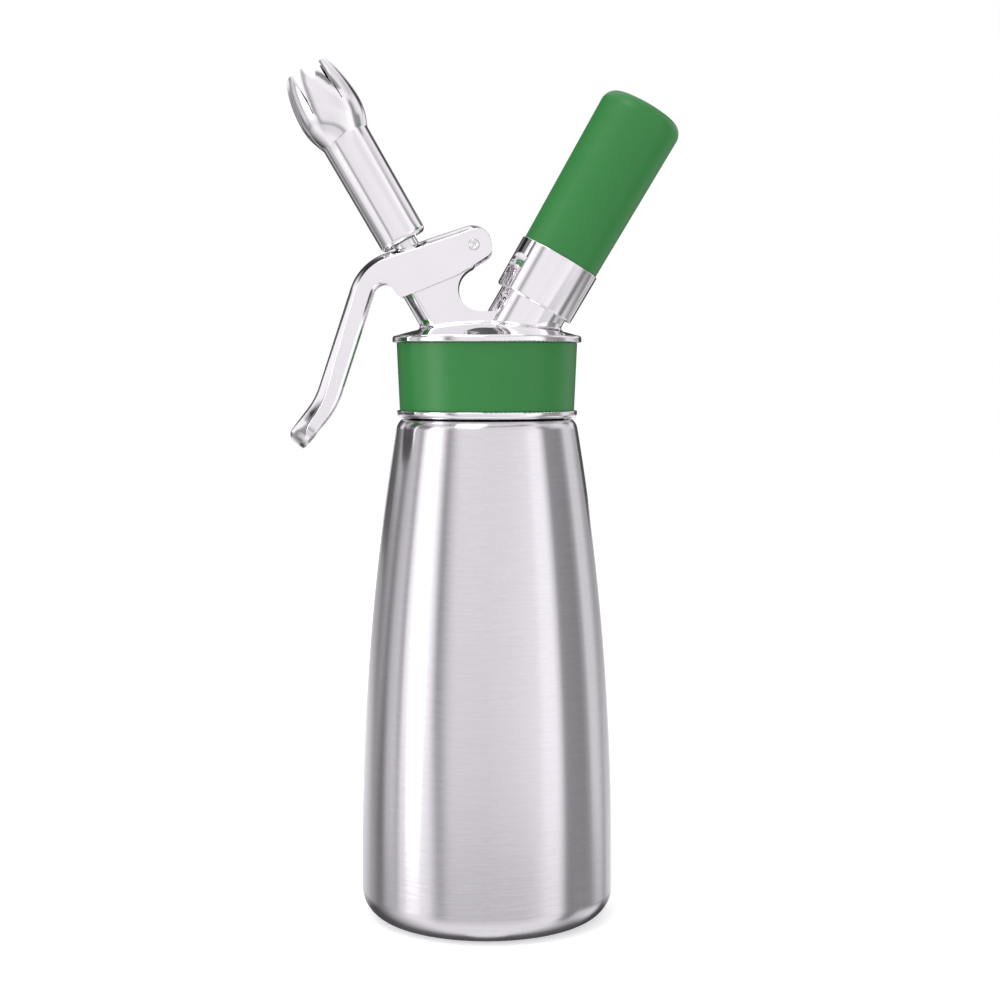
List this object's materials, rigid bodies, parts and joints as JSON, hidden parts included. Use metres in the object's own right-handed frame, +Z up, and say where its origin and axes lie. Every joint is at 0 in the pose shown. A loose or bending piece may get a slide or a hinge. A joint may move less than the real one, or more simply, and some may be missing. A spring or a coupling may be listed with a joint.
{
  "type": "whipped cream dispenser",
  "caption": "Steel pressure bottle with a screwed head, squeeze lever, spring valve, decorator tip and screw-on gas charger holder.",
  "frame": {"origin": "centre of the bottle's flat base, on the surface it stands on", "axes": "+Z up along the bottle's axis; +X towards the gas charger holder, -X towards the lever and the tip"},
  "size_m": [0.1308, 0.0854, 0.2892],
  "materials": {
    "brushed_bottle": "fine brushing round the bottle",
    "head_chrome": "polished, plated casting",
    "lever_polish": "polished steel",
    "tip_polish": "polished stainless steel",
    "pin_steel": "turned stainless steel",
    "adaptor_steel": "turned and threaded stainless steel",
    "spring_steel": "drawn spring wire",
    "green_silicone": "matte green silicone",
    "seal_rubber": "black food-grade rubber",
    "bush_plastic": "white acetal",
    "filter_brass": "sintered disc",
    "charger_green": "lacquered steel"
  },
  "bodies": {
    "bottle": {"bottle": "brushed_bottle"},
    "gasket": {"head_gasket": "seal_rubber"},
    "head": {"head_casting": "head_chrome", "head_grip": "green_silicone", "guide_bush": "bush_plastic", "stem_o_ring": "seal_rubber", "pivot_pin": "pin_steel", "piercing_pin": "pin_steel", "charger_seal": "seal_rubber", "gas_filter": "filter_brass", "check_valve": "seal_rubber", "valve_spring": "spring_steel"},
    "lever": {"lever": "lever_polish"},
    "valve": {"valve_stem": "pin_steel", "plunger": "pin_steel", "valve_seal": "seal_rubber", "press_collar": "pin_steel", "circlip": "spring_steel", "tip_adaptor": "adaptor_steel", "adaptor_o_ring": "seal_rubber"},
    "tip_seal": {"tip_washer": "seal_rubber"},
    "tip": {"decorator_tip": "tip_polish"},
    "charger": {"gas_charger": "charger_green", "charger_cap": "pin_steel"},
    "holder": {"holder_shell": "head_chrome", "holder_grip": "green_silicone", "holder_pad": "seal_rubber"}
  },
  "joints": [
    {"name": "head_lift", "type": "slide", "parent": "bottle", "child": "gasket", "axis": [0, 0, 1], "range_m": [0, 0.01205]},
    {"name": "head_turn", "type": "hinge", "parent": "gasket", "child": "head", "pos_m": [0, 0, 0.18], "axis": [0, 0, 1], "range_deg": [0, 1440]},
    {"name": "lever_pivot", "type": "hinge", "parent": "head", "child": "lever", "pos_m": [-0.00418, 0, 0.22715], "axis": [0, -1, 0], "range_deg": [0, 8.8], "stiffness_Nm_per_rad": 0.8, "springref_deg": -6.88},
    {"name": "valve_travel", "type": "slide", "parent": "head", "child": "valve", "axis": [0.5, 0, -0.866], "range_m": [0, 0.003], "deforming": ["valve_spring"]},
    {"name": "tip_lift", "type": "slide", "parent": "valve", "child": "tip_seal", "axis": [-0.5, 0, 0.866], "range_m": [0, 0.00905]},
    {"name": "tip_turn", "type": "hinge", "parent": "tip_seal", "child": "tip", "pos_m": [0, 0, 0.181], "axis": [-0.5, 0, 0.866], "range_deg": [0, 1800]},
    {"name": "charger_lift", "type": "slide", "parent": "head", "child": "charger", "axis": [0.5, 0, 0.866], "range_m": [0, 0.01255]},
    {"name": "holder_turn", "type": "hinge", "parent": "charger", "child": "holder", "pos_m": [0, 0, 0.181], "axis": [0.5, 0, 0.866], "range_deg": [0, 1800]}
  ],
  "couplings": [
    {"joint": "head_lift", "follows": "head_turn", "m_per_rad": 0.00047746},
    {"joint": "valve_travel", "follows": "lever_pivot", "m_per_rad": 0.01946},
    {"joint": "tip_lift", "follows": "tip_turn", "m_per_rad": 0.00028648},
    {"joint": "charger_lift", "follows": "holder_turn", "m_per_rad": 0.00039789}
  ]
}
